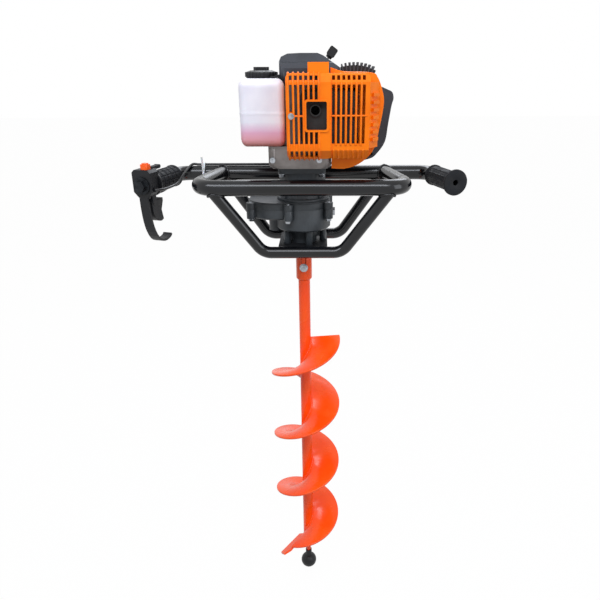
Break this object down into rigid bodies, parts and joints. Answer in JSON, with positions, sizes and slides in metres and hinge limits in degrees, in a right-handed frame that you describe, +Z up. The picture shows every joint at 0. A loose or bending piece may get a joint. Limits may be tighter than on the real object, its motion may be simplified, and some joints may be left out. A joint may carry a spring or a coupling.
{
  "type": "earth auger",
  "caption": "Handheld petrol earth auger: tube frame with two handles, engine over a gearbox, and a long orange screw bit with a guarded tip.",
  "frame": {"origin": "lowest point of the tip ball, on the axis of the bit", "axes": "+Z up along the bit, +X to the right grip, -Y toward the front rail and the muffler"},
  "size_m": [0.6183, 0.2333, 1.2277],
  "materials": {
    "black_paint": "gloss black paint on steel tube",
    "orange_paint": "gloss orange-red paint on steel",
    "dark_cast": "dark grey paint on cast aluminium",
    "cast_aluminium": "die-cast, satin",
    "zinc": "zinc plated",
    "steel": "machined",
    "dark_bolt": "blackened",
    "orange_plastic": "moulded orange plastic",
    "dark_plastic": "moulded dark grey plastic",
    "black_plastic": "moulded black plastic",
    "black_rubber": "moulded black rubber",
    "switch_orange": "moulded orange plastic",
    "tank_plastic": "translucent white blow-moulded plastic",
    "muffler_black": "matt heat-proof paint",
    "white_nylon": "nylon",
    "rope_white": "braided cord",
    "clear_bulb": "soft clear moulding"
  },
  "bodies": {
    "frame": {"handlebar": "black_paint", "upper_hoop": "black_paint", "front_v_hoop": "black_paint", "rear_v_hoop": "black_paint", "base_plate": "black_paint", "right_grip": "black_rubber", "throttle_body": "black_plastic", "throttle_grip": "black_rubber", "end_bolt": "dark_bolt", "throttle_cable": "black_plastic", "cable_tie": "white_nylon", "gearbox_lower": "dark_cast", "gearbox_upper": "dark_cast", "hex_bolts": "zinc", "oil_plug": "zinc", "bearings": "steel", "clutch_housing": "dark_cast", "fan_housing": "cast_aluminium", "crankcase_lower": "cast_aluminium", "crankcase_upper": "cast_aluminium", "cylinder_block": "cast_aluminium", "spark_plug": "steel", "muffler": "muffler_black", "muffler_guard": "orange_plastic", "engine_shroud": "orange_plastic", "rear_shroud": "dark_plastic", "cover_screws": "zinc", "starter_housing": "dark_plastic", "carburettor": "cast_aluminium", "filter_base": "dark_plastic", "filter_cover": "dark_plastic", "fuel_tank": "tank_plastic", "fuel_line": "black_rubber"},
    "bit": {"bit_socket": "orange_paint", "coupling_bolt": "zinc", "bit_shaft": "orange_paint", "bit_flight": "orange_paint", "cutting_blade": "orange_paint", "pilot_point": "orange_paint", "tip_ball": "black_plastic", "output_shaft": "steel", "output_gear": "steel"},
    "countershaft": {"countershaft": "steel"},
    "input": {"input_pinion": "steel", "clutch_drum": "steel"},
    "crank": {"crankshaft": "steel", "flywheel_fan": "cast_aluminium", "clutch_rotor": "steel"},
    "piston": {"piston": "cast_aluminium", "rod_pins": "steel", "connecting_rod": "steel"},
    "starter_pulley": {"starter_pulley": "black_plastic"},
    "pull_handle": {"pull_handle": "black_plastic", "starter_rope": "rope_white"},
    "throttle_trigger": {"throttle_trigger": "black_plastic"},
    "throttle_lock": {"throttle_lock": "black_plastic"},
    "stop_switch": {"stop_switch": "switch_orange"},
    "choke_lever": {"choke_lever": "black_plastic"},
    "primer_bulb": {"primer_bulb": "clear_bulb"},
    "fuel_cap": {"fuel_cap": "black_plastic"}
  },
  "joints": [
    {"name": "bit_spin", "type": "hinge", "parent": "frame", "child": "bit", "pos_m": [0, 0, 0.9], "axis": [0, 0, 1], "continuous": true},
    {"name": "countershaft_spin", "type": "hinge", "parent": "frame", "child": "countershaft", "pos_m": [-0.052, 0, 0.93], "axis": [0, 0, 1], "continuous": true},
    {"name": "input_spin", "type": "hinge", "parent": "frame", "child": "input", "pos_m": [0, 0, 0.95], "axis": [0, 0, 1], "continuous": true},
    {"name": "crank_spin", "type": "hinge", "parent": "frame", "child": "crank", "pos_m": [0, 0, 1.1], "axis": [0, 0, 1], "continuous": true},
    {"name": "piston_slide", "type": "slide", "parent": "frame", "child": "piston", "axis": [-1, 0, 0], "range_m": [0, 0.034]},
    {"name": "starter_pull", "type": "slide", "parent": "frame", "child": "pull_handle", "axis": [0.5878, 0, 0.809], "range_m": [0, 0.6], "stiffness_N_per_m": 20, "springref_m": -0.5},
    {"name": "pulley_spin", "type": "hinge", "parent": "frame", "child": "starter_pulley", "pos_m": [0, 0, 1.19], "axis": [0, 0, 1], "range_deg": [0, 1520]},
    {"name": "trigger_squeeze", "type": "hinge", "parent": "frame", "child": "throttle_trigger", "pos_m": [-0.2868, -0.04023, 0.965], "axis": [0.9563, -0.2924, 0], "range_deg": [0, 8], "stiffness_Nm_per_rad": 1.5, "springref_deg": -11.46},
    {"name": "lock_press", "type": "hinge", "parent": "frame", "child": "throttle_lock", "pos_m": [-0.28476, -0.03353, 1.023], "axis": [0.9563, -0.2924, 0], "range_deg": [-4, 0], "stiffness_Nm_per_rad": 0.4, "springref_deg": 5.73},
    {"name": "switch_slide", "type": "slide", "parent": "frame", "child": "stop_switch", "axis": [-0.2924, -0.9563, 0], "range_m": [0, 0.003]},
    {"name": "choke_turn", "type": "hinge", "parent": "frame", "child": "choke_lever", "pos_m": [0.104, 0.084, 1.1401], "axis": [0, 1, 0], "range_deg": [0, 60]},
    {"name": "primer_press", "type": "slide", "parent": "frame", "child": "primer_bulb", "axis": [0, 0, 1], "range_m": [0, 0.004], "stiffness_N_per_m": 400, "deforming": ["primer_bulb"]},
    {"name": "cap_lift", "type": "slide", "parent": "frame", "child": "fuel_cap", "axis": [0, 0, 1], "range_m": [0, 0.04]}
  ],
  "couplings": [
    {"joint": "countershaft_spin", "follows": "bit_spin", "ratio": -5.6667},
    {"joint": "input_spin", "follows": "bit_spin", "ratio": 32.111},
    {"joint": "pulley_spin", "follows": "starter_pull", "rad_per_m": 43.956}
  ]
}
